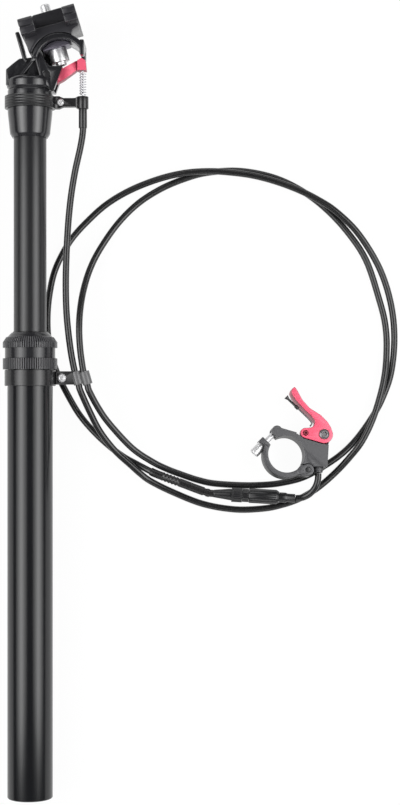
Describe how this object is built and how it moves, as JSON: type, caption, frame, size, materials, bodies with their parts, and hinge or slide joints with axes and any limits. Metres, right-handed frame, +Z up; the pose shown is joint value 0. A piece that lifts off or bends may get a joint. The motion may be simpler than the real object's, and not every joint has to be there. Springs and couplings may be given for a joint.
{
  "type": "dropper seatpost",
  "caption": "Bicycle dropper seatpost with a sliding tube, tilting saddle rail clamp, lever at the head, outside cable in loops with an inline adjuster, and a hinged bar remote.",
  "frame": {"origin": "on the axis of the outer tube, at its lower end", "axes": "+Y along the post towards the saddle, +X to the rear of the bicycle, +Z up from the side that it lies on"},
  "size_m": [0.2385, 0.4757, 0.053],
  "materials": {
    "black_tube": "black anodised, satin",
    "black_plastic": "black, satin",
    "steel": "bright steel",
    "cartridge": "plain",
    "bush": "smooth bearing plastic",
    "brass": "plain",
    "seal": "black rubber",
    "housing": "black, glossy",
    "red": "red anodised",
    "grey": "dark grey anodised, satin"
  },
  "bodies": {
    "lower": {"lower_tube": "black_tube", "bottom_plug": "black_plastic", "foot_bolt": "steel", "piston_rod": "steel", "piston": "cartridge", "upper_bush": "bush", "wiper_seal": "seal", "collar_cap": "black_tube", "lock_ring": "black_tube", "guide_band": "black_plastic", "cable_guide": "black_plastic", "guide_screw": "steel", "housing_upper": "housing", "housing_loops": "housing", "housing_tail": "housing", "adjuster_boot": "seal", "adjuster_screw": "black_plastic", "adjuster_ring": "black_plastic", "adjuster_collar": "black_plastic", "adjuster_ferrule": "black_plastic", "remote_body": "grey", "remote_hinge_pin": "steel", "remote_stop": "grey", "thumb_pivot_screw": "steel"},
    "post": {"stanchion": "black_tube", "stanchion_bush": "bush", "guide_keys": "brass", "gas_cylinder": "cartridge", "cylinder_gland": "cartridge", "valve_head": "cartridge", "head": "black_tube", "lever_pivot_pin": "steel", "inner_wire": "steel", "return_spring": "steel", "cable_stop": "black_plastic", "stop_screw": "steel", "stop_nut": "steel", "housing_ferrule": "black_plastic"},
    "head_lever": {"head_lever": "red", "wire_barrel": "steel"},
    "valve_stem": {"valve_stem": "steel"},
    "saddle_clamp": {"lower_cradle": "black_tube", "upper_cap": "black_tube", "clamp_bolt": "steel", "curved_washer": "steel", "bolt_clip": "steel"},
    "thumb_lever": {"thumb_lever": "red", "wire_anchor": "red", "wire_tail": "steel", "wire_end_cap": "black_plastic"},
    "clamp_arm": {"remote_clamp_arm": "grey", "remote_screw": "steel"},
    "adjuster_barrel": {"adjuster_barrel": "black_plastic"}
  },
  "joints": [
    {"name": "post_slide", "type": "slide", "parent": "lower", "child": "post", "axis": [0, 1, 0], "range_m": [-0.1, 0], "deforming": ["housing_upper"]},
    {"name": "head_lever_pivot", "type": "hinge", "parent": "post", "child": "head_lever", "pos_m": [0.0105, 0.432, 0], "axis": [0, 0, -1], "range_deg": [0, 10.8], "deforming": ["return_spring", "inner_wire"]},
    {"name": "valve_lift", "type": "slide", "parent": "post", "child": "valve_stem", "axis": [0, 1, 0], "range_m": [0, 0.0023], "stiffness_N_per_m": 2000, "springref_m": -0.0005},
    {"name": "saddle_tilt", "type": "hinge", "parent": "post", "child": "saddle_clamp", "pos_m": [0.019, 0.4385, 0], "axis": [0, 0, 1], "range_deg": [-9, 3]},
    {"name": "thumb_pivot", "type": "hinge", "parent": "lower", "child": "thumb_lever", "pos_m": [0.17614, 0.21681, -0.01212], "axis": [-0.1032, -0.1564, -0.9823], "range_deg": [0, 20]},
    {"name": "clamp_hinge", "type": "hinge", "parent": "lower", "child": "clamp_arm", "pos_m": [0.16625, 0.19568, -0.00771], "axis": [0.1032, 0.1564, 0.9823], "range_deg": [0, 7]},
    {"name": "barrel_turn", "type": "hinge", "parent": "lower", "child": "adjuster_barrel", "pos_m": [0.11, 0.1816, -0.01358], "axis": [0.9977, -0.0565, 0.038], "range_deg": [-720, 720]}
  ],
  "couplings": [
    {"joint": "head_lever_pivot", "follows": "valve_lift", "rad_per_m": 81.9},
    {"joint": "thumb_pivot", "follows": "valve_lift", "rad_per_m": 151.7}
  ]
}
